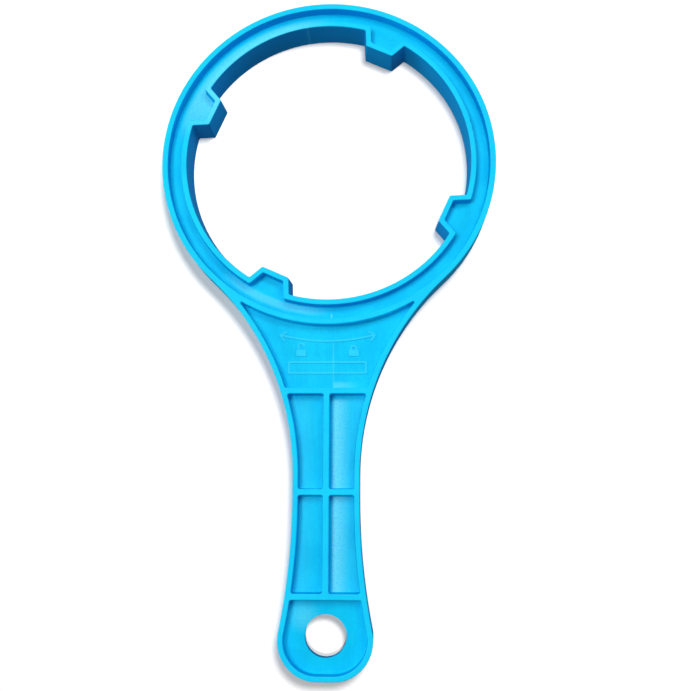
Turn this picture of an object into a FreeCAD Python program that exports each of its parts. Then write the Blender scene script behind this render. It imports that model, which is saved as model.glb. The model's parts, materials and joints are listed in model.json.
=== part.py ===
"""Housing wrench, moulded in one piece: a lugged ring, a flared neck and a ribbed grip with a hanging eye.

Millimetres.  The origin is on the ring's axis, half way through its depth.  +Z points up through the
ring, the grip runs towards -Y, and the wrench lies flat on its lower rims.

The wrench is made as its mould makes it: a solid blank less the cores that form the recesses on both
faces.  It is then parted into named regions along planes and cylinders that cross flat stretches, so
the regions meet face to face and together are exactly the one moulding.
"""
import FreeCAD, Part
import os

import Sketcher
from FreeCAD import Vector

# ---------------------------------------------------------------- driving dimensions

DIMENSIONS = [
    ("ring_radius", 65.0, "outer radius of the ring"),
    ("depth", 12.8, "depth of every rim and rib"),
    ("recess", 4.6, "depth of the recess on each face"),
    ("draft", 1.5, "draft of the recess walls, degrees"),
    ("opening_radius", 55.45, "radius of the ring's opening at the top face"),
    ("opening_draft", 2.7, "draft of the opening, narrower below, degrees"),
    ("rim", 2.2, "width of the ring's outer rim"),
    ("channel_radius", 57.5, "outer radius of the ring's inner rim"),
    ("lug_count", 4, "lugs round the opening"),
    ("lug_angle", 66.0, "direction of the first lug from +X, degrees"),
    ("lug_reach", 48.95, "distance of a lug's tip from the axis, at the top face"),
    ("lug_tip", 11.0, "width of a lug's tip"),
    ("lug_flare", 26.0, "slope of a lug's sides from its own centre line, degrees"),
    ("lug_wall", 2.0, "wall thickness of a lug"),
    ("lug_root", 56.4, "how far out a lug's blank reaches, inside the inner rim"),
    ("waist", 12.4, "half width of the grip at its waist"),
    ("waist_top", 122.0, "end of the waist nearer the ring, from the axis"),
    ("waist_bottom", 131.0, "end of the waist nearer the eye, from the axis"),
    ("reach", 194.8, "end of the grip, from the axis"),
    ("end_corner", 14.3, "radius of the eye's corners"),
    ("end_flat", 3.0, "half length of the straight end"),
    ("flange", 2.0, "width of the grip's edge flanges"),
    ("rib", 2.2, "width of the ribs"),
    ("first_rib", 90.25, "centre of the upper cross rib, from the axis"),
    ("rib_pitch", 37.5, "spacing of the cross ribs"),
    ("eye_distance", 179.4, "centre of the hanging hole, from the axis"),
    ("eye_radius", 7.65, "radius of the hanging hole"),
    ("corner", 0.8, "radius in the corners of the recesses"),
    ("foot", 0.6, "radius at the foot of the walls"),
    ("tip_corner", 0.45, "radius in the neck's two sharp upper tips"),
    ("neck_foot", 0.4, "radius at the foot of the neck's walls"),
    ("edge", 0.35, "radius on the top edges of rims and ribs"),
    ("seam", 1.0, "distance of a parting line from the wall it follows"),
    ("lug_parting", 53.4, "distance of a lug's parting plane from the axis"),
    ("flare_parting", 36.0, "how far round the flare the flanges begin, degrees from the waist"),
    ("tail_parting", 8.8, "how far round the tail the eye begins, degrees from the waist"),
    ("mark_height", 0.3, "height of the raised marks above the neck panel"),
    ("mark_stroke", 0.7, "width of a raised line"),
    ("arrow_radius", 70.8, "distance of the arrow's shaft from the axis"),
    ("arrow_spread", 14.9, "half angle of the arrow's shaft, degrees"),
    ("arrow_barb", 2.9, "length of an arrow head's barb"),
    ("arrow_splay", 38.0, "angle between a barb and the shaft, degrees"),
    ("lock_x", 10.0, "distance of each padlock from the centre line"),
    ("lock_y", 76.6, "foot of the padlocks, from the axis"),
    ("lock_width", 3.8, "width of a padlock's case"),
    ("lock_height", 2.4, "height of a padlock's case"),
    ("shackle_width", 2.8, "width of a padlock's shackle"),
    ("shackle_rise", 0.5, "straight length of a closed shackle"),
    ("shackle_lift", 0.9, "how far an open shackle is lifted"),
    ("shackle_gap", 1.35, "how far an open shackle's free leg stops short"),
    ("label_y", 81.0, "centre of the blank label frame, from the axis"),
    ("label_width", 30.0, "width of the label frame"),
    ("label_height", 4.8, "height of the label frame"),
    ("label_corner", 0.6, "corner radius of the label frame"),
]

HALF = "sizes.depth / 2"
FLOOR = "sizes.depth / 2 - sizes.recess"
OPENING_SLOPE = "tan(sizes.opening_draft * 1 deg)"
CHANNEL_SLOPE = "tan(sizes.draft * 1 deg)"
FLARE_SLOPE = "tan(sizes.lug_flare * 1 deg)"
# The flare is the one arc that is tangent to the ring and to the waist.
FLARE_RADIUS = ("((sizes.waist^2 + sizes.waist_top^2 - sizes.ring_radius^2)"
                " / (2 * (sizes.ring_radius - sizes.waist)))")
# The tail is the one arc that is tangent to the waist and to the eye's corner.
TAIL_DROP = "(sizes.reach - sizes.end_corner - sizes.waist_bottom)"
TAIL_RADIUS = (f"(((sizes.waist - sizes.end_flat)^2 + {TAIL_DROP}^2 - sizes.end_corner^2)"
               " / (2 * (sizes.end_corner - sizes.waist + sizes.end_flat)))")

# How a sketch numbers the points of an edge, and its own axes.
START = 1
END = 2
CENTRE = 3
X_AXIS = -1
Y_AXIS = -2

# What counts as the same height in mm, as a climbing edge in mm, as a smooth join in radians, and as
# the same volume, as a fraction of it.
SAME_HEIGHT = 0.01
CLIMB = 0.1
SMOOTH = 0.05
SAME_VOLUME = 1e-5

doc = FreeCAD.newDocument("housing_wrench")
sizes = doc.addObject("Spreadsheet::Sheet", "sizes")
for row, (alias, size, meaning) in enumerate(DIMENSIONS, start=1):
    sizes.set(f"A{row}", meaning)
    sizes.set(f"B{row}", str(size))
    sizes.setAlias(f"B{row}", alias)
doc.recompute()


def number(expression):
    """Return the present value of an expression that reads the sheet."""
    return float(sizes.evalExpression(expression))


# ---------------------------------------------------------------- sketches


def new_sketch(body, name, role="XY_Plane", height=None):
    """Put a sketch on one of its body's own planes, raised to a height where one is given."""
    sketch = body.newObject("Sketcher::SketchObject", name)
    plane = next(item for item in body.Origin.OriginFeatures if item.Role == role)
    sketch.AttachmentSupport = [(plane, "")]
    sketch.MapMode = "FlatFace"
    if height:
        sketch.setExpression("AttachmentOffset.Base.z", height)
    return sketch


def measure(sketch, kind, where, expression):
    """Add a dimension to a sketch and bind it to the sheet."""
    index = sketch.addConstraint(Sketcher.Constraint(kind, *where, number(expression)))
    sketch.setExpression(f"Constraints[{index}]", expression)


def pin_point(sketch, edge, end, x=None, y=None):
    """Hold a point at the coordinates given as expressions."""
    if x == "0":
        sketch.addConstraint(Sketcher.Constraint("PointOnObject", edge, end, Y_AXIS))
    elif x:
        measure(sketch, "DistanceX", (X_AXIS, START, edge, end), x)
    if y == "0":
        sketch.addConstraint(Sketcher.Constraint("PointOnObject", edge, end, X_AXIS))
    elif y:
        measure(sketch, "DistanceY", (X_AXIS, START, edge, end), y)


def join(sketch, edges, kind="Coincident"):
    """Join each edge's end to the next edge's start, as pairs of (edge, end) in order."""
    for (first, first_end), (second, second_end) in edges:
        sketch.addConstraint(Sketcher.Constraint(kind, first, first_end, second, second_end))


def polygon(sketch, points):
    """Draw a closed polygon whose corners are pairs of expressions."""
    corners = [Vector(number(x), number(y), 0) for x, y in points]
    for start, end in zip(corners, corners[1:] + corners[:1]):
        sketch.addGeometry(Part.LineSegment(start, end))
    count = len(corners)
    join(sketch, [((side, END), ((side + 1) % count, START)) for side in range(count)])
    for side, (x, y) in enumerate(points):
        pin_point(sketch, side, START, x, y)


def circle(sketch, x, y, radius):
    """Draw a circle whose centre and radius are expressions."""
    centre = Vector(number(x), number(y), 0)
    edge = sketch.addGeometry(Part.Circle(centre, Vector(0, 0, 1), number(radius)))
    pin_point(sketch, edge, CENTRE, x, y)
    measure(sketch, "Radius", (edge,), radius)


def arc_through(sketch, start, end, centre):
    """Draw the shorter arc that runs anticlockwise from start to end about a centre."""
    radius = start.distanceToPoint(centre)
    full = Part.Circle(centre, Vector(0, 0, 1), radius)
    return sketch.addGeometry(Part.ArcOfCircle(full, full.parameter(start), full.parameter(end)))


def line(sketch, start, end):
    """Draw a straight line."""
    return sketch.addGeometry(Part.LineSegment(start, end))


def hold_arc(sketch, arc, x, y, radius):
    """Hold an arc's centre and radius at the expressions given."""
    pin_point(sketch, arc, CENTRE, x, y)
    measure(sketch, "Radius", (arc,), radius)


# ---------------------------------------------------------------- the blank


def tangent_point(centre, radius, towards):
    """Return where a circle is touched on its side towards another centre."""
    return centre + (towards - centre).normalize() * radius


def draw_half_outline(sketch, inset):
    """Draw the right half of the wrench's outline, moved inwards by an inset.

    Down from the ring it is arcs and lines, each tangent to the next, and it is closed along the Y axis.
    """
    gap = number(inset)
    ring = Vector(0, 0, 0)
    waist = number("sizes.waist") - gap
    corner_radius = number("sizes.end_corner") - gap
    end_y = -number("sizes.reach") + gap
    flare = Vector(number("sizes.waist") + number(FLARE_RADIUS), -number("sizes.waist_top"), 0)
    tail = Vector(number("sizes.waist") + number(TAIL_RADIUS), -number("sizes.waist_bottom"), 0)
    corner = Vector(number("sizes.end_flat"), end_y + corner_radius, 0)

    crown = Vector(0, number("sizes.ring_radius") - gap, 0)
    shoulder = tangent_point(flare, number(FLARE_RADIUS) + gap, ring)
    upper = Vector(waist, flare.y, 0)
    lower = Vector(waist, tail.y, 0)
    hip = tangent_point(corner, corner_radius, tail)
    toe = Vector(corner.x, end_y, 0)
    foot = Vector(0, end_y, 0)

    # Every arc runs anticlockwise, as a sketch keeps it.
    ring_arc = arc_through(sketch, shoulder, crown, ring)
    spine = line(sketch, crown, foot)
    end_line = line(sketch, foot, toe)
    corner_arc = arc_through(sketch, toe, hip, corner)
    tail_arc = arc_through(sketch, lower, hip, tail)
    waist_line = line(sketch, lower, upper)
    flare_arc = arc_through(sketch, shoulder, upper, flare)
    join(sketch, [
        ((ring_arc, END), (spine, START)),
        ((spine, END), (end_line, START)),
    ])
    join(sketch, [
        ((end_line, END), (corner_arc, START)),
        ((corner_arc, END), (tail_arc, END)),
        ((tail_arc, START), (waist_line, START)),
        ((waist_line, END), (flare_arc, END)),
        ((flare_arc, START), (ring_arc, START)),
    ], "Tangent")

    sketch.addConstraint(Sketcher.Constraint("Coincident", ring_arc, CENTRE, X_AXIS, START))
    measure(sketch, "Radius", (ring_arc,), f"sizes.ring_radius - {inset}")
    measure(sketch, "Radius", (corner_arc,), f"sizes.end_corner - {inset}")
    pin_point(sketch, spine, START, "0", None)
    pin_point(sketch, spine, END, "0", f"{inset} - sizes.reach")
    pin_point(sketch, end_line, END, "sizes.end_flat", None)
    pin_point(sketch, waist_line, START, f"sizes.waist - {inset}", "-sizes.waist_bottom")
    pin_point(sketch, waist_line, END, None, "-sizes.waist_top")


def make_slab(body, inset, length):
    """Make a slab of the wrench's outline, moved inwards by an inset: one half, and its mirror image."""
    outline = new_sketch(body, f"{body.Name}_outline")
    draw_half_outline(outline, inset)
    half = add_feature(body, "Pad", f"{body.Name}_half", outline)
    half.SideType = "Symmetric"
    half.setExpression("Length", length)
    doc.recompute()
    whole = body.newObject("PartDesign::Mirrored", f"{body.Name}_slab")
    whole.Originals = [half]
    whole.MirrorPlane = (next(item for item in body.Origin.OriginFeatures if item.Role == "YZ_Plane"), [""])
    body.Tip = whole
    doc.recompute()


def add_feature(body, kind, name, profile):
    """Add a sketch-based feature to a body."""
    feature = body.newObject(f"PartDesign::{kind}", name)
    feature.Profile = profile
    profile.Visibility = False
    return feature


def round_edges(body, name, radius, test):
    """Round those edges of a body's present solid that pass a test."""
    doc.recompute()
    base = body.Tip
    chosen = [f"Edge{index}" for index, edge in enumerate(base.Shape.Edges, start=1) if test(edge)]
    fillet = body.newObject("PartDesign::Fillet", name)
    fillet.Base = (base, chosen)
    fillet.setExpression("Radius", radius)
    doc.recompute()


def steep(edge):
    """Say whether an edge climbs from one height to another."""
    heights = [vertex.Z for vertex in edge.Vertexes]
    return max(heights) - min(heights) > CLIMB


def make_blank():
    """Make the solid blank: the outline at full depth, the opening, its lugs and the hanging hole."""
    body = doc.addObject("PartDesign::Body", "blank")
    make_slab(body, "0", "sizes.depth")

    cone = new_sketch(body, "opening_profile", "XZ_Plane")
    polygon(cone, [
        ("0", f"-{HALF}"),
        (f"sizes.opening_radius - sizes.depth * {OPENING_SLOPE}", f"-{HALF}"),
        ("sizes.opening_radius", HALF),
        ("0", HALF),
    ])
    opening = add_feature(body, "Groove", "opening", cone)
    opening.ReferenceAxis = (cone, ["V_Axis"])
    opening.Angle = 360
    doc.recompute()

    half_tip = "sizes.lug_tip / 2"
    half_root = f"({half_tip} + (sizes.lug_root - sizes.lug_reach) * {FLARE_SLOPE})"
    lug_profile = new_sketch(body, "lug_profile", height=HALF)
    lug_profile.setExpression("AttachmentOffset.Rotation.Angle", "sizes.lug_angle * 1 deg")
    polygon(lug_profile, [
        ("sizes.lug_reach", f"-{half_tip}"),
        ("sizes.lug_root", f"-{half_root}"),
        ("sizes.lug_root", half_root),
        ("sizes.lug_reach", half_tip),
    ])
    lug = add_feature(body, "Pad", "lug", lug_profile)
    lug.Reversed = True
    lug.setExpression("Length", "sizes.depth")
    lug.setExpression("TaperAngle", "sizes.opening_draft * 1 deg")
    doc.recompute()
    repeat_round(body, "lugs", lug)

    hole_profile = new_sketch(body, "hole_profile")
    circle(hole_profile, "0", "-sizes.eye_distance", "sizes.eye_radius")
    hole = add_feature(body, "Pocket", "hanging_hole", hole_profile)
    hole.SideType = "Symmetric"
    hole.setExpression("Length", "sizes.depth")
    doc.recompute()

    inner_rim = number("sizes.channel_radius")

    def at_a_lug(edge):
        middle = edge.CenterOfMass
        return steep(edge) and Vector(middle.x, middle.y, 0).Length < inner_rim
    round_edges(body, "lug_corners", "sizes.corner", at_a_lug)
    return body


def repeat_round(body, name, feature):
    """Repeat a feature once for each lug round the ring's axis."""
    pattern = body.newObject("PartDesign::PolarPattern", name)
    pattern.Originals = [feature]
    axis = next(item for item in body.Origin.OriginFeatures if item.Role == "Z_Axis")
    pattern.Axis = (axis, [""])
    pattern.Angle = 360
    pattern.setExpression("Occurrences", "sizes.lug_count")
    body.Tip = pattern
    doc.recompute()


# ---------------------------------------------------------------- the cores


def extrude_core(body, profile):
    """Extrude a core down from the top face to the recess's floor, and draft it."""
    slug = add_feature(body, "Pad", f"{body.Name}_slug", profile)
    slug.Reversed = True
    slug.setExpression("Length", "sizes.recess")
    slug.setExpression("TaperAngle", "-sizes.draft * 1 deg")


def round_corners(body, name="corners", radius="sizes.corner", test=lambda edge: True):
    """Round a core's upright corners, or those of them that pass a test."""
    def at_a_corner(edge):
        return steep(edge) and not is_smooth(body.Tip.Shape, edge) and test(edge)
    round_edges(body, f"{body.Name}_{name}", radius, at_a_corner)


def round_foot(body, radius="sizes.foot"):
    """Round the loop of edges round a core's floor."""
    floor = number(FLOOR)

    def on_the_floor(edge):
        return abs(edge.BoundBox.ZMax - floor) < SAME_HEIGHT
    round_edges(body, f"{body.Name}_foot", radius, on_the_floor)


def is_smooth(shape, edge):
    """Say whether the two faces that share an edge run on smoothly across it."""
    faces = shape.ancestorsOfType(edge, Part.Face)
    if len(faces) < 2:
        return True
    middle = edge.valueAt((edge.FirstParameter + edge.LastParameter) / 2)
    normals = [face.normalAt(*face.Surface.parameter(middle)) for face in faces[:2]]
    return normals[0].getAngle(normals[1]) < SMOOTH


def make_channel_core():
    """Make the core of the ring's channel, with a branch into each lug."""
    body = doc.addObject("PartDesign::Body", "channel_core")
    section = new_sketch(body, "channel_section", "XZ_Plane")
    lean = f"sizes.recess * {CHANNEL_SLOPE}"
    polygon(section, [
        (f"sizes.channel_radius + {lean}", FLOOR),
        (f"sizes.ring_radius - sizes.rim - {lean}", FLOOR),
        ("sizes.ring_radius - sizes.rim", HALF),
        ("sizes.channel_radius", HALF),
    ])
    channel = add_feature(body, "Revolution", "channel", section)
    channel.ReferenceAxis = (section, ["V_Axis"])
    channel.Angle = 360
    doc.recompute()

    inner = "(sizes.lug_reach + sizes.lug_wall)"
    outer = "(sizes.channel_radius + sizes.flange / 2)"
    half_inner = (f"(sizes.lug_tip / 2 + sizes.lug_wall * {FLARE_SLOPE}"
                  " - sizes.lug_wall / cos(sizes.lug_flare * 1 deg))")
    half_outer = f"({half_inner} + ({outer} - {inner}) * {FLARE_SLOPE})"
    branch_profile = new_sketch(body, "branch_profile", height=HALF)
    branch_profile.setExpression("AttachmentOffset.Rotation.Angle", "sizes.lug_angle * 1 deg")
    polygon(branch_profile, [
        (inner, f"-{half_inner}"),
        (outer, f"-{half_outer}"),
        (outer, half_outer),
        (inner, half_inner),
    ])
    branch = add_feature(body, "Pad", "branch", branch_profile)
    branch.Reversed = True
    branch.setExpression("Length", "sizes.recess")
    branch.setExpression("TaperAngle", "-sizes.draft * 1 deg")
    doc.recompute()
    repeat_round(body, "branches", branch)
    round_corners(body)
    round_foot(body)
    return body


def flare_line(side="1"):
    """Return the centre and radius, as expressions, of a flange's inner line along the flare."""
    return f"{side} * (sizes.waist + {FLARE_RADIUS})", "-sizes.waist_top", f"{FLARE_RADIUS} + sizes.flange"


def tail_line(side="1"):
    """Return the centre and radius, as expressions, of a flange's inner line along the tail."""
    return f"{side} * (sizes.waist + {TAIL_RADIUS})", "-sizes.waist_bottom", f"{TAIL_RADIUS} + sizes.flange"


def on_arc(held, y, side=1):
    """Return the point of a held arc at a height, on the side of its centre nearer the Y axis."""
    x_centre, y_centre, radius = (number(part) for part in held)
    return Vector(x_centre - side * (radius ** 2 - (y - y_centre) ** 2) ** 0.5, y, 0)


def centre_of(held):
    """Return a held arc's centre as a point."""
    return Vector(number(held[0]), number(held[1]), 0)


def make_neck_core():
    """Make the core of the neck: bounded by the ring, both flanges and the upper cross rib."""
    body = doc.addObject("PartDesign::Body", "neck_core")
    sketch = new_sketch(body, "neck_profile", height=HALF)
    right = flare_line()
    left = flare_line("-1")
    rib_top = "sizes.rib / 2 - sizes.first_rib"
    ring_radius = number("sizes.ring_radius")
    centre = centre_of(right)
    flange_radius = number(right[2])
    # The ring's circle meets the flange's inner line at the neck's upper tip.
    spread = centre.Length
    along = (spread ** 2 + ring_radius ** 2 - flange_radius ** 2) / (2 * spread)
    across = (ring_radius ** 2 - along ** 2) ** 0.5
    outward = Vector(centre).normalize()
    tip = outward * along + Vector(outward.y, -outward.x, 0) * across
    mirror_tip = Vector(-tip.x, tip.y, 0)
    low = on_arc(right, number(rib_top))
    mirror_low = Vector(-low.x, low.y, 0)

    ring = arc_through(sketch, mirror_tip, tip, Vector(0, 0, 0))
    flange_right = arc_through(sketch, tip, low, centre)
    rib = line(sketch, low, mirror_low)
    flange_left = arc_through(sketch, mirror_low, mirror_tip, centre_of(left))
    join(sketch, [
        ((ring, END), (flange_right, START)),
        ((flange_right, END), (rib, START)),
        ((rib, END), (flange_left, START)),
        ((flange_left, END), (ring, START)),
    ])
    hold_arc(sketch, ring, "0", "0", "sizes.ring_radius")
    hold_arc(sketch, flange_right, *right)
    hold_arc(sketch, flange_left, *left)
    pin_point(sketch, rib, START, None, rib_top)
    pin_point(sketch, rib, END, None, rib_top)
    extrude_core(body, sketch)
    round_corners(body, "tips", "sizes.tip_corner", lambda edge: edge.CenterOfMass.y > -ring_radius)
    round_corners(body)
    round_foot(body, "sizes.neck_foot")
    return body


def make_grip_core(name, top, bottom, held, waist_end, arc_is_above):
    """Make the core of one right-hand recess of the grip.

    Its outer side is part straight, along the waist, and part arc, which is above or below the end of
    the waist that it starts from.
    """
    body = doc.addObject("PartDesign::Body", name)
    sketch = new_sketch(body, f"{name}_profile", height=HALF)
    inner_x = number("sizes.rib / 2")
    outer_x = number("sizes.waist - sizes.flange")
    top_y = number(top)
    bottom_y = number(bottom)
    waist_point = Vector(outer_x, number(waist_end), 0)
    inner_top = Vector(inner_x, top_y, 0)
    inner_bottom = Vector(inner_x, bottom_y, 0)
    if arc_is_above:
        outer_top = on_arc(held, top_y)
        outer_bottom = Vector(outer_x, bottom_y, 0)
        arc = arc_through(sketch, outer_top, waist_point, centre_of(held))
        straight = line(sketch, outer_bottom, waist_point)
        upper_end, lower_end = (arc, START), (straight, START)
        waist_ends = (straight, END), (arc, END)
    else:
        outer_top = Vector(outer_x, top_y, 0)
        outer_bottom = on_arc(held, bottom_y)
        straight = line(sketch, outer_top, waist_point)
        arc = arc_through(sketch, waist_point, outer_bottom, centre_of(held))
        upper_end, lower_end = (straight, START), (arc, END)
        waist_ends = (straight, END), (arc, START)

    spine = line(sketch, inner_top, inner_bottom)
    bottom_line = line(sketch, inner_bottom, outer_bottom)
    top_line = line(sketch, outer_top, inner_top)
    join(sketch, [
        ((spine, END), (bottom_line, START)),
        ((bottom_line, END), lower_end),
        waist_ends,
        (upper_end, (top_line, START)),
        ((top_line, END), (spine, START)),
    ])
    hold_arc(sketch, arc, *held)
    pin_point(sketch, spine, START, "sizes.rib / 2", top)
    pin_point(sketch, spine, END, "sizes.rib / 2", bottom)
    pin_point(sketch, top_line, START, None, top)
    pin_point(sketch, bottom_line, END, None, bottom)
    pin_point(sketch, straight, END, None, waist_end)
    extrude_core(body, sketch)
    round_corners(body)
    round_foot(body)
    return body


def make_eye_core():
    """Make the core of the hanging eye: bounded by the lower cross rib and the rim round the end."""
    body = doc.addObject("PartDesign::Body", "eye_core")
    sketch = new_sketch(body, "eye_profile", height=HALF)
    top = "-sizes.first_rib - 2 * sizes.rib_pitch - sizes.rib / 2"
    end_y = number("sizes.flange - sizes.reach")
    end_flat = number("sizes.end_flat")
    corner_radius = number("sizes.end_corner - sizes.flange")
    corner = Vector(end_flat, end_y + corner_radius, 0)
    mirror_corner = Vector(-end_flat, corner.y, 0)
    right = tail_line()
    left = tail_line("-1")
    high = on_arc(right, number(top))
    mirror_high = Vector(-high.x, high.y, 0)
    hip = tangent_point(corner, corner_radius, centre_of(right))
    mirror_hip = Vector(-hip.x, hip.y, 0)
    toe = Vector(end_flat, end_y, 0)
    mirror_toe = Vector(-end_flat, end_y, 0)

    rib = line(sketch, high, mirror_high)
    tail_left = arc_through(sketch, mirror_hip, mirror_high, centre_of(left))
    corner_left = arc_through(sketch, mirror_hip, mirror_toe, mirror_corner)
    end = line(sketch, mirror_toe, toe)
    corner_right = arc_through(sketch, toe, hip, corner)
    tail_right = arc_through(sketch, high, hip, centre_of(right))
    join(sketch, [((rib, END), (tail_left, END)), ((tail_right, START), (rib, START))])
    join(sketch, [
        ((tail_left, START), (corner_left, START)),
        ((corner_left, END), (end, START)),
        ((end, END), (corner_right, START)),
        ((corner_right, END), (tail_right, END)),
    ], "Tangent")
    pin_point(sketch, tail_left, CENTRE, left[0], left[1])
    pin_point(sketch, tail_right, CENTRE, right[0], right[1])
    measure(sketch, "Radius", (corner_left,), "sizes.end_corner - sizes.flange")
    measure(sketch, "Radius", (corner_right,), "sizes.end_corner - sizes.flange")
    pin_point(sketch, end, START, "-sizes.end_flat", "sizes.flange - sizes.reach")
    pin_point(sketch, end, END, "sizes.end_flat", None)
    pin_point(sketch, rib, START, None, top)
    pin_point(sketch, rib, END, None, top)
    extrude_core(body, sketch)
    round_corners(body)
    round_foot(body)
    return body


# ---------------------------------------------------------------- the moulding


def boolean(kind, name, first, second):
    """Cut one object by another, or take what they have in common."""
    result = doc.addObject(f"Part::{kind}", name)
    result.Base = first
    result.Tool = second
    return result


def fuse(name, shapes):
    """Fuse several objects."""
    result = doc.addObject("Part::MultiFuse", name)
    result.Shapes = shapes
    return result


def mirror(name, source, normal):
    """Mirror an object in a plane through the origin."""
    result = doc.addObject("Part::Mirroring", name)
    result.Source = source
    result.Normal = normal
    return result


def make_moulding():
    """Cut the cores of both faces from the blank, then soften the edges of the rims and ribs."""
    upper = make_grip_core(
        "upper_core",
        "-sizes.first_rib - sizes.rib / 2",
        "-sizes.first_rib - sizes.rib_pitch + sizes.rib / 2",
        flare_line(),
        "-sizes.waist_top",
        arc_is_above=True,
    )
    lower = make_grip_core(
        "lower_core",
        "-sizes.first_rib - sizes.rib_pitch - sizes.rib / 2",
        "-sizes.first_rib - 2 * sizes.rib_pitch + sizes.rib / 2",
        tail_line(),
        "-sizes.waist_bottom",
        arc_is_above=False,
    )
    across = Vector(1, 0, 0)
    top_cores = fuse("top_cores", [
        make_channel_core(),
        make_neck_core(),
        upper,
        mirror("upper_core_left", upper, across),
        lower,
        mirror("lower_core_left", lower, across),
        make_eye_core(),
    ])
    bottom_cores = mirror("bottom_cores", top_cores, Vector(0, 0, 1))
    cores = fuse("cores", [top_cores, bottom_cores])
    sharp = boolean("Cut", "sharp_moulding", make_blank(), cores)
    doc.recompute()
    half = number(HALF)
    radius = number("sizes.edge")

    def on_a_rim(edge):
        middle_height = (edge.BoundBox.ZMax + edge.BoundBox.ZMin) / 2
        return not steep(edge) and abs(abs(middle_height) - half) < SAME_HEIGHT
    soft = doc.addObject("Part::Fillet", "moulding")
    soft.Base = sharp
    soft.Edges = [
        (index, radius, radius)
        for index, edge in enumerate(sharp.Shape.Edges, start=1)
        if on_a_rim(edge)
    ]
    doc.recompute()
    return soft


# ---------------------------------------------------------------- the regions

# The tools that part the moulding reach past it on every side.
SPAN = "(4 * sizes.ring_radius)"
CUT_HEIGHT = "(2 * sizes.depth)"
SEAM_RADIUS = "(sizes.ring_radius + sizes.seam)"
INSET = "(sizes.flange + sizes.seam)"
HALF_BAND = "(sizes.rib / 2 + sizes.seam)"


def band_edge(which, side):
    """Return the height of a cross rib band's edge: side 1 is nearer the ring and -1 nearer the eye."""
    return f"({side} * {HALF_BAND} - sizes.first_rib - {which} * sizes.rib_pitch)"


def box(name, x_low, x_high, y_low, y_high):
    """Make a box through the whole depth, with its sides at the expressions given."""
    tool = doc.addObject("Part::Box", name)
    tool.setExpression("Length", f"({x_high}) - ({x_low})")
    tool.setExpression("Width", f"({y_high}) - ({y_low})")
    tool.setExpression("Height", CUT_HEIGHT)
    tool.setExpression("Placement.Base.x", x_low)
    tool.setExpression("Placement.Base.y", y_low)
    tool.setExpression("Placement.Base.z", f"-{CUT_HEIGHT} / 2")
    return tool


def make_seam_cylinder():
    """Make the cylinder just outside the ring, where the neck is parted from it."""
    tool = doc.addObject("Part::Cylinder", "ring_seam")
    tool.setExpression("Radius", SEAM_RADIUS)
    tool.setExpression("Height", CUT_HEIGHT)
    tool.setExpression("Placement.Base.z", f"-{CUT_HEIGHT} / 2")
    return tool


def make_lower_zone(name, centre_x, centre_y, angle):
    """Make the zone below two planes that meet on the grip's centre line, one through each arc's centre.

    A plane through the centre of an edge's arc crosses that edge squarely, so its fillet is cut cleanly.
    """
    body = doc.addObject("PartDesign::Body", name)
    profile = new_sketch(body, f"{name}_profile")
    polygon(profile, [
        (centre_x, centre_y),
        ("0", f"{centre_y} + {centre_x} * tan({angle} * 1 deg)"),
        (f"-{centre_x}", centre_y),
        (f"-{centre_x}", f"-{SPAN}"),
        (centre_x, f"-{SPAN}"),
    ])
    slab = add_feature(body, "Pad", f"{name}_slab", profile)
    slab.SideType = "Symmetric"
    slab.setExpression("Length", CUT_HEIGHT)
    doc.recompute()
    return body


def make_handle_zone(inner_zone):
    """Make the zone of the handle: below the shoulders, or inside the flanges, and outside the ring."""
    below = make_lower_zone(
        "below_shoulders",
        f"(sizes.waist + {FLARE_RADIUS})",
        "-sizes.waist_top",
        "sizes.flare_parting",
    )
    return boolean("Cut", "handle_zone", fuse("below_or_inside", [below, inner_zone]), make_seam_cylinder())


def make_eye_zone():
    """Make the zone of the hanging eye, below the lower cross rib."""
    return make_lower_zone(
        "eye_zone",
        f"(sizes.waist + {TAIL_RADIUS})",
        "-sizes.waist_bottom",
        "-sizes.tail_parting",
    )


def make_lug_zones():
    """Make one box round each lug, up to its parting plane."""
    zones = []
    for which in range(int(number("sizes.lug_count"))):
        zone = box(
            f"lug_zone_{which + 1}",
            "sizes.lug_reach - sizes.lug_wall",
            "sizes.lug_parting",
            "-sizes.lug_tip",
            "sizes.lug_tip",
        )
        turn = f"((sizes.lug_angle + {which} * 360 / sizes.lug_count) * 1 deg)"
        near = "(sizes.lug_reach - sizes.lug_wall)"
        # The rotation needs its axis before its angle can be bound.
        zone.Placement = FreeCAD.Placement(Vector(0, 0, 0), FreeCAD.Rotation(Vector(0, 0, 1), 1))
        zone.setExpression("Placement.Rotation.Angle", turn)
        zone.setExpression("Placement.Base.x", f"{near} * cos({turn}) + sizes.lug_tip * sin({turn})")
        zone.setExpression("Placement.Base.y", f"{near} * sin({turn}) - sizes.lug_tip * cos({turn})")
        zone.setExpression("Placement.Base.z", f"-{CUT_HEIGHT} / 2")
        zones.append(zone)
    return zones


def make_inner_zone():
    """Make the zone inside the flanges: the outline moved inwards."""
    body = doc.addObject("PartDesign::Body", "inner_zone")
    make_slab(body, INSET, CUT_HEIGHT)
    return body


def part_ring(moulding, handle_zone):
    """Part the ring and its lugs from the moulding."""
    lug_zones = make_lug_zones()
    lugs = [
        boolean("Common", f"drive_lug_{which}", moulding, zone)
        for which, zone in enumerate(lug_zones, start=1)
    ]
    return [boolean("Cut", "ring", moulding, fuse("beyond_ring", [handle_zone] + lug_zones))] + lugs


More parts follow.
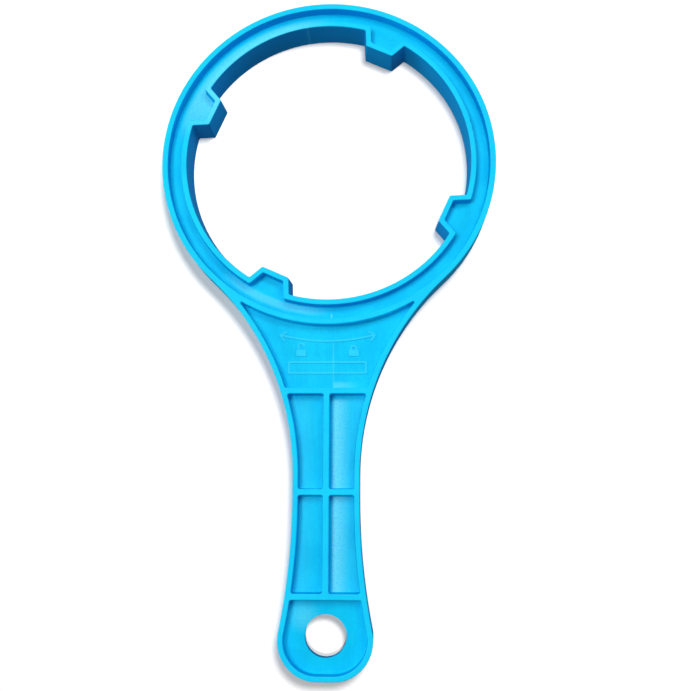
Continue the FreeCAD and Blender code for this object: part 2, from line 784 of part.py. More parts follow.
def part_handle(handle, inner_zone):
    """Part the neck and grip into flanges, panels and ribs, and the hanging eye."""
    eye_zone = make_eye_zone()
    grip = boolean("Cut", "grip", handle, eye_zone)
    inner = boolean("Common", "inside_flanges", grip, inner_zone)
    outer = boolean("Cut", "outside_panels", grip, inner_zone)
    pieces = [
        boolean("Common", "hanging_eye", handle, eye_zone),
        boolean("Common", "left_flange", outer, box("left_zone", f"-{SPAN}", "0", f"-{SPAN}", "0")),
        boolean("Common", "right_flange", outer, box("right_zone", "0", SPAN, f"-{SPAN}", "0")),
        boolean("Common", "neck_panel", inner, box("neck_zone", f"-{SPAN}", SPAN, band_edge(0, 1), "0")),
    ]
    # The lower cross rib's band runs on to the eye.
    bands = {"upper": band_edge(0, -1), "middle": band_edge(1, -1), "lower": f"-{SPAN}"}
    for which, (name, bottom) in enumerate(bands.items()):
        zone = box(f"{name}_rib_zone", f"-{SPAN}", SPAN, bottom, band_edge(which, 1))
        pieces.append(boolean("Common", f"{name}_cross_rib", inner, zone))
    for which, name in enumerate(("upper", "lower")):
        top = band_edge(which, -1)
        bottom = band_edge(which + 1, 1)
        columns = {
            "left_panel": (f"-{SPAN}", f"-{HALF_BAND}"),
            "centre_rib": (f"-{HALF_BAND}", HALF_BAND),
            "right_panel": (HALF_BAND, SPAN),
        }
        for column, (x_low, x_high) in columns.items():
            zone = box(f"{name}_{column}_zone", x_low, x_high, bottom, top)
            pieces.append(boolean("Common", f"{name}_{column}", inner, zone))
    return pieces


# ---------------------------------------------------------------- raised marks on the neck panel


def raise_mark(body, name, profile):
    """Raise a mark's profile from the panel."""
    pad = add_feature(body, "Pad", name, profile)
    pad.setExpression("Length", "sizes.mark_height")
    doc.recompute()


def make_arrow():
    """Make the double-ended arrow: a shaft concentric with the ring and two barbs at each end."""
    body = doc.addObject("PartDesign::Body", "direction_arrow")
    shaft = new_sketch(body, "shaft_profile", height=FLOOR)
    spread = number("sizes.arrow_spread")
    centre = Vector(0, 0, 0)
    arcs = []
    for sign in (-1, 1):
        radius = f"sizes.arrow_radius + {sign} * sizes.mark_stroke / 2"
        reach = Vector(0, -number(radius), 0)
        start = FreeCAD.Rotation(Vector(0, 0, 1), -spread).multVec(reach)
        end = FreeCAD.Rotation(Vector(0, 0, 1), spread).multVec(reach)
        arc = arc_through(shaft, start, end, centre)
        hold_arc(shaft, arc, "0", "0", radius)
        arcs.append((arc, start, end, f"({radius})"))
    (inner, inner_start, inner_end, inner_radius), (outer, outer_start, outer_end, outer_radius) = arcs
    left = line(shaft, inner_start, outer_start)
    right = line(shaft, outer_end, inner_end)
    join(shaft, [
        ((inner, START), (left, START)),
        ((left, END), (outer, START)),
        ((outer, END), (right, START)),
        ((right, END), (inner, END)),
    ])
    sine = "sin(sizes.arrow_spread * 1 deg)"
    for edge, side in ((inner, -1), (inner, 1), (outer, -1), (outer, 1)):
        radius = inner_radius if edge == inner else outer_radius
        end = START if side < 0 else END
        pin_point(shaft, edge, end, f"{side} * {radius} * {sine}", None)
    raise_mark(body, "shaft", shaft)

    for side, name in ((1, "right"), (-1, "left")):
        for lean in (1, -1):
            barb = new_sketch(body, f"{name}_barb_profile_{'out' if lean > 0 else 'in'}", height=FLOOR)
            # A barb runs back from the tip, turned away from the shaft's own direction there.
            turn = f"(({side} * sizes.arrow_spread + {lean} * sizes.arrow_splay) * 1 deg)"
            tip_x = f"{side} * sizes.arrow_radius * {sine}"
            tip_y = "-sizes.arrow_radius * cos(sizes.arrow_spread * 1 deg)"
            back = f"(-{side} * sizes.arrow_barb)"
            half = "(sizes.mark_stroke / 2)"
            corners = []
            for along, across in (("0", f"-{half}"), (back, f"-{half}"), (back, half), ("0", half)):
                corners.append((
                    f"{tip_x} + {along} * cos({turn}) - {across} * sin({turn})",
                    f"{tip_y} + {along} * sin({turn}) + {across} * cos({turn})",
                ))
            polygon(barb, corners)
            raise_mark(body, f"{name}_barb_{'out' if lean > 0 else 'in'}", barb)
    return body


def make_padlock(name, side, lift, gap):
    """Make a padlock sign: a case with a shackle, lifted and cut short on one leg if the lock is open."""
    body = doc.addObject("PartDesign::Body", name)
    centre_x = f"({side} * sizes.lock_x)"
    case_top = "(sizes.lock_height - sizes.lock_y)"
    case = new_sketch(body, f"{name}_case_profile", height=FLOOR)
    polygon(case, [
        (f"{centre_x} - sizes.lock_width / 2", "-sizes.lock_y"),
        (f"{centre_x} + sizes.lock_width / 2", "-sizes.lock_y"),
        (f"{centre_x} + sizes.lock_width / 2", case_top),
        (f"{centre_x} - sizes.lock_width / 2", case_top),
    ])
    raise_mark(body, f"{name}_case", case)

    bow_y = f"({case_top} + sizes.shackle_rise + {lift})"
    outer = "(sizes.shackle_width / 2)"
    inner = "(sizes.shackle_width / 2 - sizes.mark_stroke)"
    sunk = f"({case_top} - sizes.mark_stroke / 2)"
    free_end = f"({sunk} + {gap})"
    bow = new_sketch(body, f"{name}_bow_profile", height=FLOOR)
    middle = Vector(number(centre_x), number(bow_y), 0)
    spots = {}
    for label, radius in (("outer", outer), ("inner", inner)):
        for hand, sign in (("left", -1), ("right", 1)):
            spots[label, hand] = middle + Vector(sign * number(radius), 0, 0)
    outer_arc = arc_through(bow, spots["outer", "right"], spots["outer", "left"], middle)
    inner_arc = arc_through(bow, spots["inner", "right"], spots["inner", "left"], middle)
    hold_arc(bow, outer_arc, centre_x, bow_y, outer)
    hold_arc(bow, inner_arc, centre_x, bow_y, inner)
    feet = {"left": sunk, "right": free_end}
    for hand, end in (("left", END), ("right", START)):
        foot_y = number(feet[hand])
        out_foot = Vector(spots["outer", hand].x, foot_y, 0)
        in_foot = Vector(spots["inner", hand].x, foot_y, 0)
        down = line(bow, spots["outer", hand], out_foot)
        across = line(bow, out_foot, in_foot)
        up = line(bow, in_foot, spots["inner", hand])
        join(bow, [
            ((outer_arc, end), (down, START)),
            ((down, END), (across, START)),
            ((across, END), (up, START)),
            ((up, END), (inner_arc, end)),
        ])
        bow.addConstraint(Sketcher.Constraint("Vertical", down))
        bow.addConstraint(Sketcher.Constraint("Vertical", up))
        pin_point(bow, across, START, None, feet[hand])
        pin_point(bow, across, END, None, feet[hand])
        pin_point(bow, outer_arc, end, None, bow_y)
        pin_point(bow, inner_arc, end, None, bow_y)
    raise_mark(body, f"{name}_bow", bow)
    return body


def make_label():
    """Make the blank label: a plain rounded frame."""
    body = doc.addObject("PartDesign::Body", "blank_label")
    for name, inset, kind in (("outer", "0", "Pad"), ("inner", "sizes.mark_stroke", "Pocket")):
        profile = new_sketch(body, f"label_{name}", height=FLOOR)
        half_width = f"(sizes.label_width / 2 - {inset})"
        half_height = f"(sizes.label_height / 2 - {inset})"
        polygon(profile, [
            (f"-{half_width}", f"-sizes.label_y - {half_height}"),
            (half_width, f"-sizes.label_y - {half_height}"),
            (half_width, f"{half_height} - sizes.label_y"),
            (f"-{half_width}", f"{half_height} - sizes.label_y"),
        ])
        feature = add_feature(body, kind, f"label_{name}_{kind.lower()}", profile)
        feature.Reversed = kind == "Pocket"
        feature.setExpression("Length", "sizes.mark_height")
        doc.recompute()
    round_edges(body, "label_corners", "sizes.label_corner", steep)
    return body


def make_marks():
    """Make every raised mark on the neck panel."""
    return [
        make_arrow(),
        make_padlock("open_mark", -1, "sizes.shackle_lift", "sizes.shackle_gap"),
        make_padlock("closed_mark", 1, "0", "0"),
        make_label(),
    ]


# ---------------------------------------------------------------- checks and export


def check(objects):
    """Stop if any object failed to build, or any piece is empty, invalid or not solid."""
    for item in doc.Objects:
        if "Invalid" in item.State or "Error" in item.State:
            raise RuntimeError(f"{item.Name} failed to build: {item.State}")
    for item in objects:
        shape = item.Shape
        if shape.isNull() or not shape.isValid() or not shape.Solids:
            raise RuntimeError(f"{item.Name} has no valid solid")


def compare_volumes(moulding, regions):
    """Stop if the regions together don't hold what the moulding holds."""
    whole = moulding.Shape.Volume
    parted = sum(region.Shape.Volume for region in regions)
    if abs(parted - whole) > SAME_VOLUME * whole:
        raise RuntimeError(f"the regions hold {parted:.3f} mm3 and the moulding {whole:.3f} mm3")


def main():
    """Build the wrench, check it and write each region and mark to its own file."""
    moulding = make_moulding()
    inner_zone = make_inner_zone()
    handle_zone = make_handle_zone(inner_zone)
    handle = boolean("Common", "handle", moulding, handle_zone)
    regions = part_ring(moulding, handle_zone) + part_handle(handle, inner_zone)
    marks = make_marks()
    doc.recompute()
    check(regions + marks)
    compare_volumes(moulding, regions)
    os.makedirs("parts", exist_ok=True)
    for piece in regions + marks:
        piece.Label = piece.Name
        piece.Shape.exportStep(f"parts/{piece.Label}.step")
        print(f"{piece.Label}: {len(piece.Shape.Solids)} solid, {piece.Shape.Volume:.1f} mm3")


main()
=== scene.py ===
"""The looks of a wrench for cartridge filter housings: one satin blue moulding on a white floor.

Lengths are in metres in the frame of the CAD model. The ring's axis is Z, the grip runs towards -Y and
the underside lies on the floor.
"""

import json
import math

import bpy
from mathutils import Euler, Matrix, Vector


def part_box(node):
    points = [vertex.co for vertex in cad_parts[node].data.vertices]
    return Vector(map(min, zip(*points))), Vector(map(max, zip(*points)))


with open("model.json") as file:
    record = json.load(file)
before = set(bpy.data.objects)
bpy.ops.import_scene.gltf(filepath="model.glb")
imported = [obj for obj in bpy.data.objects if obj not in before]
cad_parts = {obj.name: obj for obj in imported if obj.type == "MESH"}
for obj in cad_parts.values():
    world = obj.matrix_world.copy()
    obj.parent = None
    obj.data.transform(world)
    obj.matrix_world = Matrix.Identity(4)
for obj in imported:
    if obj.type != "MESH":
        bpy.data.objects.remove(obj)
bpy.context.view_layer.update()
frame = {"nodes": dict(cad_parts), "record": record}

MM = 0.001

# ---------------------------------------------------------------- places

RIM_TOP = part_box("ring")[1].z
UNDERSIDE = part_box("ring")[0].z
RING_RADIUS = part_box("ring")[1].y
GRIP_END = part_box("hanging_eye")[0].y
WEB_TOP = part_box("neck_panel")[1].z
NECK_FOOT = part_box("neck_panel")[0].y
PANELS_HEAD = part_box("upper_right_panel")[1].y
PANELS_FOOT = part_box("lower_right_panel")[0].y
RIB_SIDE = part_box("upper_centre_rib")[1].x
MARK_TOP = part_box("direction_arrow")[1].z
MARKS_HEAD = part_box("direction_arrow")[1].y
MARKS_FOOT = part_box("blank_label")[0].y
MOUNTS = {mount["name"]: mount for mount in frame["record"]["mounts"]}
HOLE = Vector(MOUNTS["hanging_hole"]["pos_m"])
# The middle of the painted sheen beside the hanging hole.
SHEEN_BY_HOLE = HOLE + Vector((-8.2 * MM, 7.0 * MM, 0.0))

# ---------------------------------------------------------------- colours, linear

DEEP_BLUE = (0.001, 0.560, 0.880, 1.0)
PALE_BLUE = (0.003, 0.650, 0.940, 1.0)
# Painted shade: the colour that the steep walls are darkened towards.
WALL_SHADE_BLUE = (0.001, 0.330, 0.760, 1.0)
# Painted highlight: the paler colour of the rims' and ribs' flat tops.
RIM_TOP_HIGHLIGHT_BLUE = (0.015, 0.680, 0.950, 1.0)
# Painted highlight: the paler colour of the rounded edges and the raised marks' tops.
EDGE_HIGHLIGHT_BLUE = (0.050, 0.740, 0.960, 1.0)
# Painted sheen: the paler colour of the glossy patches.
PAINTED_SHEEN_BLUE = (0.160, 0.800, 0.980, 1.0)
MARK_BLUE = (0.090, 0.760, 0.970, 1.0)
GLOSS_BLUE = (0.16, 0.65, 1.00, 1.0)
FLOOR_WHITE = (0.80, 0.79, 0.78, 1.0)
SOFT_WHITE = (1.0, 1.0, 1.0)
PALE_SKY = (0.80, 0.82, 1.0)
COOL_WHITE = (0.50, 0.62, 1.0)

# ---------------------------------------------------------------- plastic

# How wide its patterns are, and how far the streaks are drawn out.
CLOUD_SIZE = 12.0 * MM
STREAK_SIZE = 1.1 * MM
SPECK_SIZE = 0.75 * MM
MOTTLE_SIZE = 0.9 * MM
EDGE_PATCH_SIZE = 1.6 * MM
SWELL_SIZE = 7.0 * MM
GRAIN_SIZE = 0.35 * MM
ROUND_THE_RING = 8.0 * MM
DOWN_THE_GRIP = 0.12

# How far its surface rises and falls.
SWELL_RISE = 0.05 * MM
FLOW_RISE = 0.012 * MM
GRAIN_RISE = 0.010 * MM
LINE_RISE = 0.03 * MM

# How much each tint, painted shade, painted highlight and painted sheen shows, from 0 to 1.
RIM_TOP_HIGHLIGHT = 0.35
RAISED_MARK_HIGHLIGHT = 0.5
WALL_SHADE = 0.8
FAINT_EDGE_WEAR_AND_HIGHLIGHT = 0.35
STRONG_EDGE_WEAR_AND_HIGHLIGHT = 0.8
RIGHT_PANEL_SHEEN = 1.0
RIGHT_EDGE_SHEEN = 0.08
LEFT_PANEL_SHEEN = 0.10
CHANNEL_SHEEN = 0.75
NEAR_CHANNEL_SHEEN = 0.5
NECK_SHEEN = 0.55
HOLE_SHEEN = 0.45
FLOW_LINE_TINT = 0.35
WELD_TINT = 0.7
SCUFF_TINT = 0.25

# How rough it is, what the sheen patches and edge wear take off that, and how strongly it reflects.
DULL = 0.50
SATIN = 0.38
SHEEN_ROUGHNESS_CHANGE = -0.10
WEAR_CHANGE = -0.08
REFLECTION = 0.22

# ---------------------------------------------------------------- lights and camera

# Soft lights on the wrench. The azimuth is a bearing clockwise from +Y, and the size is in metres.
WRENCH_LIGHTS = {
    "key": dict(azimuth=270, elevation=70, size=0.30, watts=3.3, colour=SOFT_WHITE),
    "key_far": dict(azimuth=315, elevation=70, size=0.30, watts=1.0, colour=SOFT_WHITE),
    "above": dict(azimuth=270, elevation=80, size=0.30, watts=1.3, colour=SOFT_WHITE),
    "far": dict(azimuth=10, elevation=60, size=0.35, watts=1.7, colour=SOFT_WHITE),
    "far_right": dict(azimuth=50, elevation=58, size=0.35, watts=1.7, colour=SOFT_WHITE),
    "low_far_right": dict(azimuth=60, elevation=15, size=0.50, watts=2.6, colour=COOL_WHITE),
    "low_left": dict(azimuth=280, elevation=12, size=0.50, watts=4.0, colour=PALE_SKY),
    "low_near_left": dict(azimuth=235, elevation=12, size=0.50, watts=1.2, colour=COOL_WHITE),
    "low_near_right": dict(azimuth=130, elevation=12, size=0.50, watts=1.6, colour=COOL_WHITE),
}
# Lights on the floor: the first throws the wrench's shadow, and the second lightens it.
FLOOR_LIGHTS = {
    "shadow_light": dict(azimuth=35, elevation=72, size=0.26, watts=9.8, colour=SOFT_WHITE),
    "shadow_fill": dict(azimuth=173, elevation=81, size=0.10, watts=5.0, colour=SOFT_WHITE),
}
LIGHT_DISTANCE = 1.0
WORLD_STRENGTH = 0.07
FLOOR_REACH = 6.0

CAMERA_TILT_DEGREES = (8.967, 2.105, 0.192)
CAMERA_AIM = Vector((6.78 * MM, -72.23 * MM, 0.0))
CAMERA_DISTANCE = 357.35 * MM
CAMERA_LENS = 48.6
CAMERA_SENSOR = 36.0


# ---------------------------------------------------------------- node helpers


class Material:
    """A node material whose helpers each return the output of the nodes that they add."""

    def __init__(self, name):
        self.block = bpy.data.materials.new(name)
        self.block.use_nodes = True
        self.tree = self.block.node_tree

    def put(self, socket, value):
        """Link a socket to an output, or set it to a constant."""
        if isinstance(value, bpy.types.NodeSocket):
            self.tree.links.new(value, socket)
        else:
            socket.default_value = value

    def shade(self, name, value):
        """Put a value into one of the shader's inputs."""
        self.put(self.tree.nodes["Principled BSDF"].inputs[name], value)

    def coordinate(self, name):
        """Return the position on the object, or the direction that its surface faces."""
        return self.tree.nodes.new("ShaderNodeTexCoord").outputs[name]

    def split(self, vector):
        """Return the three coordinates of a vector."""
        node = self.tree.nodes.new("ShaderNodeSeparateXYZ")
        self.put(node.inputs[0], vector)
        return node.outputs

    def join(self, x, y, z):
        """Return the vector with these three coordinates."""
        node = self.tree.nodes.new("ShaderNodeCombineXYZ")
        for socket, value in zip(node.inputs, (x, y, z)):
            self.put(socket, value)
        return node.outputs[0]

    def calc(self, operation, first, second=0.0, third=0.0):
        """Return one sum on plain numbers."""
        node = self.tree.nodes.new("ShaderNodeMath")
        node.operation = operation
        for socket, value in zip(node.inputs, (first, second, third)):
            self.put(socket, value)
        return node.outputs[0]

    def calc_vector(self, operation, first, second=(0.0, 0.0, 0.0)):
        """Return one sum on vectors."""
        node = self.tree.nodes.new("ShaderNodeVectorMath")
        node.operation = operation
        self.put(node.inputs[0], first)
        self.put(node.inputs[1], second)
        return node.outputs["Value" if operation in ("DISTANCE", "LENGTH") else "Vector"]

    def ease(self, value, low, high, start=0.0, end=1.0):
        """Return a value that goes smoothly from start at low to end at high."""
        node = self.tree.nodes.new("ShaderNodeMapRange")
        node.interpolation_type = "SMOOTHSTEP"
        for socket, number in zip(node.inputs, (value, low, high, start, end)):
            self.put(socket, number)
        return node.outputs[0]

    def noise(self, place, size, detail):
        """Return noise about 0.5 whose lumps are about as wide as size."""
        node = self.tree.nodes.new("ShaderNodeTexNoise")
        self.put(node.inputs["Vector"], place)
        node.inputs["Scale"].default_value = 1.0 / size
        node.inputs["Detail"].default_value = detail
        return node.outputs["Fac"]

    def mix(self, amount, first, second):
        """Return a colour between two others."""
        node = self.tree.nodes.new("ShaderNodeMix")
        node.data_type = "RGBA"
        self.put(node.inputs[0], amount)
        self.put(node.inputs[6], first)
        self.put(node.inputs[7], second)
        return node.outputs[2]

    def bump(self, height, rise, below=None):
        """Return a normal tilted by a height map that rises this far."""
        node = self.tree.nodes.new("ShaderNodeBump")
        node.inputs["Distance"].default_value = rise
        self.put(node.inputs["Height"], height)
        if below:
            self.put(node.inputs["Normal"], below)
        return node.outputs[0]

    def both(self, *masks):
        """Return the product of some masks."""
        product = masks[0]
        for mask in masks[1:]:
            product = self.calc("MULTIPLY", product, mask)
        return product

    def either(self, *masks):
        """Return the strongest of some masks."""
        strongest = masks[0]
        for mask in masks[1:]:
            strongest = self.calc("MAXIMUM", strongest, mask)
        return strongest

    def window(self, value, low, high, blur):
        """Return a mask that is 1 between two values and fades out past each of them."""
        rise = self.ease(value, low - blur, low)
        fall = self.ease(value, high, high + blur, 1.0, 0.0)
        return self.both(rise, fall)


class Plastic(Material):
    """The wrench's plastic, with the coordinates that its patches and marks are placed by."""

    def __init__(self, name):
        super().__init__(name)
        self.place = self.coordinate("Object")
        self.x, self.y, self.z = self.split(self.place)
        self.flat = self.join(self.x, self.y, 0.0)
        self.radius = self.calc_vector("LENGTH", self.flat)
        self.angle = self.calc("ARCTAN2", self.y, self.x)
        self.upward = self.split(self.coordinate("Normal"))[2]
        self.level = self.ease(self.upward, 0.75, 0.98)

    def sector(self, first, last, blur):
        """Return a mask between two angles about the ring's axis, in degrees from +X."""
        return self.window(self.angle, math.radians(first), math.radians(last), math.radians(blur))


# ---------------------------------------------------------------- the wrench's plastic


def streaks(plastic):
    """Return streaks that run as the melt did, round the ring and down the grip."""
    outward = plastic.calc_vector("NORMALIZE", plastic.flat)
    outward_x, outward_y, _ = plastic.split(outward)
    ring_flow = plastic.join(
        plastic.calc("ADD", plastic.radius, plastic.z),
        plastic.calc("MULTIPLY", outward_x, ROUND_THE_RING),
        plastic.calc("MULTIPLY", outward_y, ROUND_THE_RING),
    )
    grip_flow = plastic.join(plastic.x, plastic.calc("MULTIPLY", plastic.y, DOWN_THE_GRIP), plastic.z)
    on_grip = plastic.ease(plastic.y, -RING_RADIUS - 9.0 * MM, -RING_RADIUS + 7.0 * MM, 1.0, 0.0)
    ring_streak = plastic.noise(ring_flow, STREAK_SIZE, 3.0)
    grip_streak = plastic.noise(grip_flow, STREAK_SIZE, 3.0)
    difference = plastic.calc("SUBTRACT", grip_streak, ring_streak)
    return plastic.calc("MULTIPLY_ADD", difference, on_grip, ring_streak)


def tones(plastic, streak):
    """Return the plastic's light and dark: half from clouds, a quarter each from streaks and specks."""
    cloud = plastic.noise(plastic.place, CLOUD_SIZE, 3.0)
    speck = plastic.noise(plastic.place, SPECK_SIZE, 2.0)
    tone = plastic.calc("MULTIPLY", cloud, 0.5)
    tone = plastic.calc("MULTIPLY_ADD", streak, 0.25, tone)
    return plastic.calc("MULTIPLY_ADD", speck, 0.25, tone)


def rim_tops(plastic):
    """Return the flat tops of the rims and ribs."""
    return plastic.both(plastic.ease(plastic.z, RIM_TOP - 0.6 * MM, RIM_TOP - 0.1 * MM), plastic.level)


def worn_and_highlit_edges(plastic):
    """Return the rounded edges of the rims and ribs, stronger in some places than in others: they get a
    painted highlight in their colour, and wear that makes them smoother.
    """
    patchiness = plastic.ease(plastic.noise(plastic.place, EDGE_PATCH_SIZE, 4.0), 0.45, 0.7)
    return plastic.both(
        plastic.ease(plastic.z, RIM_TOP - 0.35 * MM, RIM_TOP - 0.08 * MM),
        plastic.ease(plastic.upward, 0.55, 0.995, 1.0, 0.0),
        plastic.ease(patchiness, 0.0, 1.0, FAINT_EDGE_WEAR_AND_HIGHLIGHT, STRONG_EDGE_WEAR_AND_HIGHLIGHT),
    )


def raised_marks(plastic):
    """Return the tops of the arrow, the padlocks and the empty frame."""
    return plastic.both(
        plastic.window(plastic.z, MARK_TOP - 0.1 * MM, MARK_TOP + 0.05 * MM, 0.05 * MM),
        plastic.window(plastic.y, MARKS_FOOT - 0.6 * MM, MARKS_HEAD, 1.0 * MM),
        plastic.level,
    )


def painted_wall_shade(plastic):
    """Return where painted shade darkens the steep walls, except round the outside of the ring."""
    steep = plastic.ease(plastic.upward, 0.2, 0.6, 1.0, 0.0)
    outside = plastic.both(
        plastic.ease(plastic.radius, RING_RADIUS - 1.0 * MM, RING_RADIUS - 0.5 * MM),
        plastic.ease(plastic.y, -RING_RADIUS - 5.0 * MM, -RING_RADIUS + 5.0 * MM),
    )
    return plastic.both(steep, plastic.ease(outside, 0.0, 1.0, WALL_SHADE, 0.0))


def glossy_sheen_patches(plastic):
    """Return the patches where a sheen is painted paler into the colour and where the plastic is also
    made glossier.
    """
    x, y, radius = plastic.x, plastic.y, plastic.radius
    on_webs = plastic.window(plastic.z, 0.0, WEB_TOP + 0.2 * MM, 0.3 * MM)
    on_panels = plastic.window(y, PANELS_FOOT - 0.85 * MM, PANELS_HEAD - 1.65 * MM, 1.5 * MM)
    right_panels = plastic.both(
        plastic.ease(x, RIB_SIDE - 0.5 * MM, RIB_SIDE + 0.5 * MM),
        plastic.ease(x, RIB_SIDE + 0.5 * MM, RIB_SIDE + 7.4 * MM, RIGHT_PANEL_SHEEN, RIGHT_EDGE_SHEEN),
        on_panels,
    )
    left_panels = plastic.both(
        plastic.ease(x, -RIB_SIDE - 6.9 * MM, -RIB_SIDE - 0.9 * MM, LEFT_PANEL_SHEEN, 0.0),
        on_panels,
    )
    channel = plastic.both(
        plastic.sector(108, 152, 22),
        plastic.ease(radius, RING_RADIUS - 5.4 * MM, RING_RADIUS - 3.2 * MM, CHANNEL_SHEEN, 0.0),
    )
    near_channel = plastic.both(
        plastic.sector(-122, -100, 12),
        plastic.window(radius, RING_RADIUS - 6.4 * MM, RING_RADIUS - 4.8 * MM, 1.2 * MM),
        NEAR_CHANNEL_SHEEN,
    )
    neck = plastic.both(
        plastic.ease(x, RIB_SIDE, RIB_SIDE + 0.5 * MM),
        plastic.ease(x, RIB_SIDE + 0.9 * MM, RIB_SIDE + 10.9 * MM, NECK_SHEEN, 0.0),
        plastic.window(y, NECK_FOOT - 0.85 * MM, NECK_FOOT + 0.55 * MM, 1.8 * MM),
    )
    from_hole = plastic.calc_vector("DISTANCE", plastic.place, SHEEN_BY_HOLE)
    by_hole = plastic.both(plastic.ease(from_hole, 1.0 * MM, 7.5 * MM, 1.0, 0.0), HOLE_SHEEN)
    patches = plastic.either(right_panels, left_panels, near_channel, neck, by_hole)
    patches = plastic.either(plastic.both(patches, on_webs), channel)
    mottle = plastic.ease(plastic.noise(plastic.place, MOTTLE_SIZE, 3.0), 0.3, 0.65, 0.65, 1.0)
    return plastic.both(patches, plastic.level, mottle)


def pale_lines(plastic):
    """Return the lines where streams of the melt met, and one where the opening was rubbed."""
    x, y = plastic.x, plastic.y
    flow_line = plastic.both(
        plastic.window(x, 2.15 * MM, 2.35 * MM, 0.25 * MM),
        plastic.window(y, NECK_FOOT + 0.15 * MM, NECK_FOOT + 15.15 * MM, 2.0 * MM),
        FLOW_LINE_TINT,
    )
    weld = plastic.both(
        plastic.window(x, 1.35 * MM, 1.6 * MM, 0.35 * MM),
        plastic.window(y, -RING_RADIUS + 2.7 * MM, -RING_RADIUS + 4.6 * MM, 0.6 * MM),
        WELD_TINT,
    )
    slant = plastic.calc("MULTIPLY_ADD", y, 0.45, x)
    scuff = plastic.both(
        plastic.window(slant, 15.7 * MM, 16.3 * MM, 0.5 * MM),
        plastic.window(y, RING_RADIUS - 11.0 * MM, RING_RADIUS - 6.2 * MM, 0.8 * MM),
        plastic.window(x, -12.0 * MM, -8.0 * MM, 1.0 * MM),
        SCUFF_TINT,
    )
    return plastic.either(flow_line, weld, scuff)


def make_plastic():
    """Satin blue plastic as it leaves the mould: finely grained, with flow marks; with painted shade,
    painted highlights and painted sheen.
    """
    plastic = Plastic("blue_plastic")
    streak = streaks(plastic)
    tone = tones(plastic, streak)
    edge_wear_and_highlight = worn_and_highlit_edges(plastic)
    sheen = glossy_sheen_patches(plastic)
    lines = pale_lines(plastic)

    body = plastic.mix(plastic.ease(tone, 0.36, 0.64), DEEP_BLUE, PALE_BLUE)
    # Painted highlight: the flat tops of the rims and ribs are coloured paler.
    body = plastic.mix(plastic.both(rim_tops(plastic), RIM_TOP_HIGHLIGHT), body, RIM_TOP_HIGHLIGHT_BLUE)
    # Painted highlight along the rounded edges of the rims and ribs, in patches.
    body = plastic.mix(edge_wear_and_highlight, body, EDGE_HIGHLIGHT_BLUE)
    # Painted highlight on the tops of the raised arrow, padlocks and empty frame.
    body = plastic.mix(plastic.both(raised_marks(plastic), RAISED_MARK_HIGHLIGHT), body, EDGE_HIGHLIGHT_BLUE)
    # Painted shade: the steep walls are coloured darker and a deeper blue.
    body = plastic.mix(painted_wall_shade(plastic), body, WALL_SHADE_BLUE)
    # Painted sheen: reflections on the panels, the channel, the neck and by the hole are coloured paler.
    body = plastic.mix(sheen, body, PAINTED_SHEEN_BLUE)
    body = plastic.mix(lines, body, MARK_BLUE)
    plastic.shade("Base Color", body)

    rough = plastic.ease(tone, 0.3, 0.7, DULL, SATIN)
    rough = plastic.calc("MULTIPLY_ADD", sheen, SHEEN_ROUGHNESS_CHANGE, rough)
    rough = plastic.calc("MULTIPLY_ADD", edge_wear_and_highlight, WEAR_CHANGE, rough)
    plastic.shade("Roughness", rough)
    plastic.shade("Specular IOR Level", REFLECTION)
    plastic.shade("Specular Tint", GLOSS_BLUE)

    swell = plastic.bump(plastic.noise(plastic.place, SWELL_SIZE, 1.0), SWELL_RISE)
    flow = plastic.bump(streak, FLOW_RISE, swell)
    grain = plastic.bump(plastic.noise(plastic.place, GRAIN_SIZE, 2.0), GRAIN_RISE, flow)
    plastic.shade("Normal", plastic.bump(lines, LINE_RISE, grain))
    return plastic.block


# ---------------------------------------------------------------- stage


def make_floor_paint():
    """Plain matt white."""
    paint = Material("floor_paint")
    paint.shade("Base Color", FLOOR_WHITE)
    paint.shade("Roughness", 0.9)
    paint.shade("Specular IOR Level", 0.0)
    return paint.block


def make_floor():
    """Lay a plain floor under the wrench, which throws no light back onto it."""
    sides = (-FLOOR_REACH, FLOOR_REACH)
    corners = [(x, y, UNDERSIDE) for x in sides for y in sides]
    mesh = bpy.data.meshes.new("floor")
    mesh.from_pydata(corners, [], [(0, 2, 3, 1)])
    floor = bpy.data.objects.new("floor", mesh)
    bpy.context.scene.collection.objects.link(floor)
    mesh.materials.append(make_floor_paint())
    floor.visible_diffuse = False
    floor.visible_glossy = False
    return floor


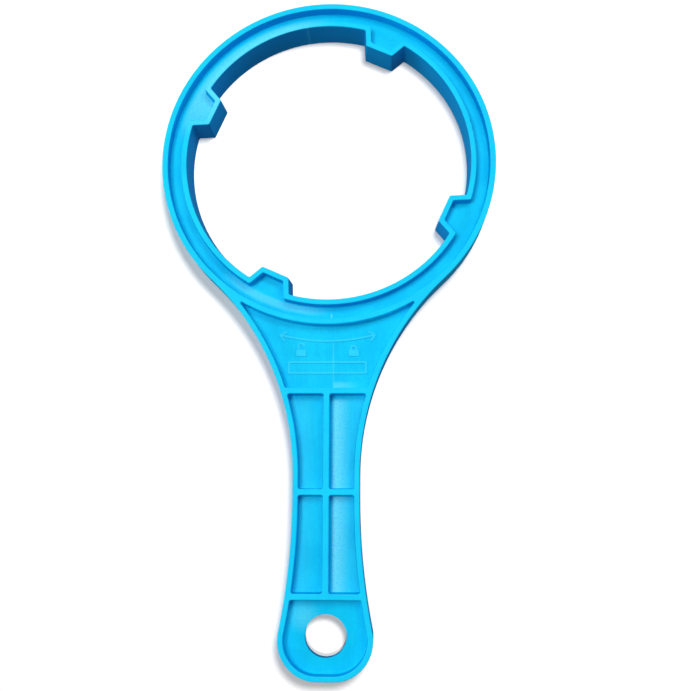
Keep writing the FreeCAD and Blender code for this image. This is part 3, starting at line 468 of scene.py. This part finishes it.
def make_softbox(name, azimuth, elevation, size, watts, colour):
    """Aim a round soft light at the wrench, from a bearing clockwise from +Y."""
    bearing = math.radians(azimuth)
    climb = math.radians(elevation)
    direction = Vector((
        math.cos(climb) * math.sin(bearing),
        math.cos(climb) * math.cos(bearing),
        math.sin(climb),
    ))
    light = bpy.data.lights.new(name, "AREA")
    light.shape = "DISK"
    light.size = size
    light.energy = watts
    light.color = colour
    lamp = bpy.data.objects.new(name, light)
    middle = Vector((0.0, (RING_RADIUS + GRIP_END) / 2, 0.0))
    lamp.location = middle + direction * LIGHT_DISTANCE
    lamp.rotation_euler = (-direction).to_track_quat("-Z", "Y").to_euler()
    bpy.context.scene.collection.objects.link(lamp)
    return lamp


def light_only(lamp, objects):
    """Let a lamp shine on these objects and on nothing else."""
    group = bpy.data.collections.new(f"lit_by_{lamp.name}")
    for item in objects:
        group.objects.link(item)
    lamp.light_linking.receiver_collection = group


def light_up(lights, objects):
    """Hang some softboxes that shine on these objects only."""
    for name, settings in lights.items():
        light_only(make_softbox(name, **settings), objects)


def make_world():
    """Surround the scene with an even pale light."""
    world = bpy.data.worlds.new("studio")
    bpy.context.scene.world = world
    world.use_nodes = True
    background = world.node_tree.nodes["Background"]
    background.inputs["Color"].default_value = (*SOFT_WHITE, 1.0)
    background.inputs["Strength"].default_value = WORLD_STRENGTH


def make_camera():
    """Look down on the wrench from a little towards its grip."""
    tilt = Euler([math.radians(angle) for angle in CAMERA_TILT_DEGREES])
    data = bpy.data.cameras.new("camera")
    data.sensor_width = CAMERA_SENSOR
    data.lens = CAMERA_LENS
    camera = bpy.data.objects.new("camera", data)
    camera.rotation_euler = tilt
    camera.location = CAMERA_AIM + tilt.to_matrix() @ Vector((0.0, 0.0, CAMERA_DISTANCE))
    bpy.context.scene.collection.objects.link(camera)
    bpy.context.scene.camera = camera


make_camera()
blue_plastic = make_plastic()
for part in frame["nodes"].values():
    part.data.materials.clear()
    part.data.materials.append(blue_plastic)
make_world()
light_up(WRENCH_LIGHTS, frame["nodes"].values())
light_up(FLOOR_LIGHTS, [make_floor()])
bpy.context.scene.view_settings.view_transform = "Standard"
